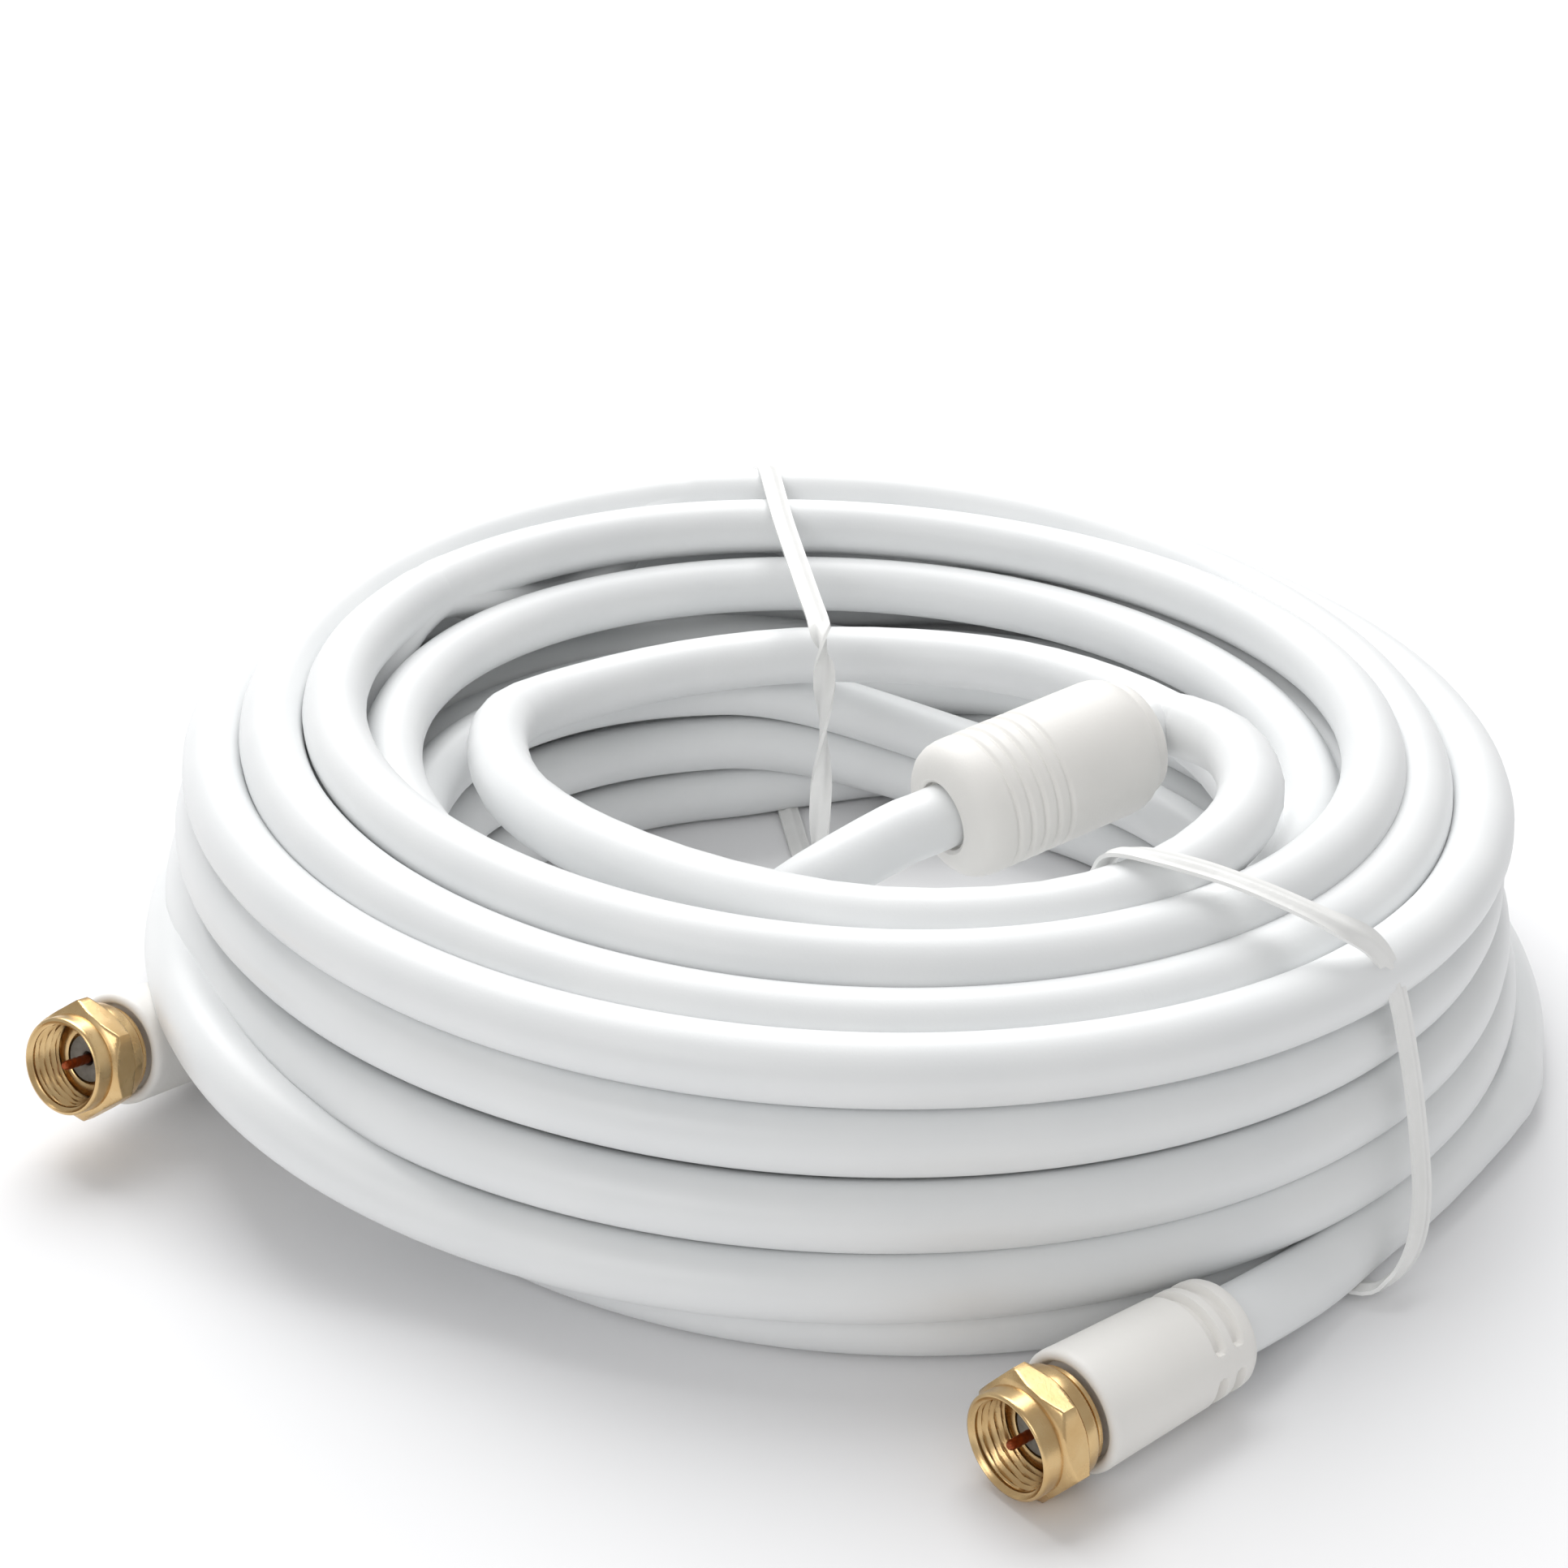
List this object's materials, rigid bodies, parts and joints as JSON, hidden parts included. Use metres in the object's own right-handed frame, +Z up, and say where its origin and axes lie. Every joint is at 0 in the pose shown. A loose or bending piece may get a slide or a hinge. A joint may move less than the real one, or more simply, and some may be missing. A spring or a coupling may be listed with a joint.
{
  "type": "coaxial cable coil",
  "caption": "Coil of white coaxial cable with a slack inner loop, a ferrite choke, gold F-type screw plugs on its ends and white wire ties.",
  "frame": {"origin": "the middle of the whole coil's box, at floor level", "axes": "+Z up along the coil's axis, -Y towards the side that the front plug lies on, +X to the right seen from there"},
  "size_m": [0.1592, 0.174, 0.0424],
  "materials": {
    "jacket": "satin white PVC",
    "moulding": "satin, a little warmer white",
    "gold": "polished gold plate",
    "insulation": "matte grey-white foam plastic",
    "copper": "bare copper-clad wire",
    "ribbon": "smooth white plastic over a wire"
  },
  "bodies": {
    "cable": {"cable_coil": "jacket", "inner_loop": "jacket", "bore_lead": "jacket", "front_lead": "jacket", "ferrite_choke": "moulding", "front_boot": "moulding", "front_plug_body": "gold", "front_insulator": "insulation", "front_pin": "copper", "left_boot": "moulding", "left_plug_body": "gold", "left_insulator": "insulation", "left_pin": "copper", "front_tie": "ribbon", "back_tie": "ribbon"},
    "front_nut": {"front_nut": "gold"},
    "left_nut": {"left_nut": "gold"}
  },
  "joints": [
    {"name": "front_nut_spin", "type": "hinge", "parent": "cable", "child": "front_nut", "pos_m": [0.01718, -0.08353, 0.0059], "axis": [0.7604, 0.6494, 0], "continuous": true},
    {"name": "left_nut_spin", "type": "hinge", "parent": "cable", "child": "left_nut", "pos_m": [-0.07552, -0.03723, 0.0116], "axis": [0.5008, 0.8335, -0.2334], "continuous": true}
  ]
}
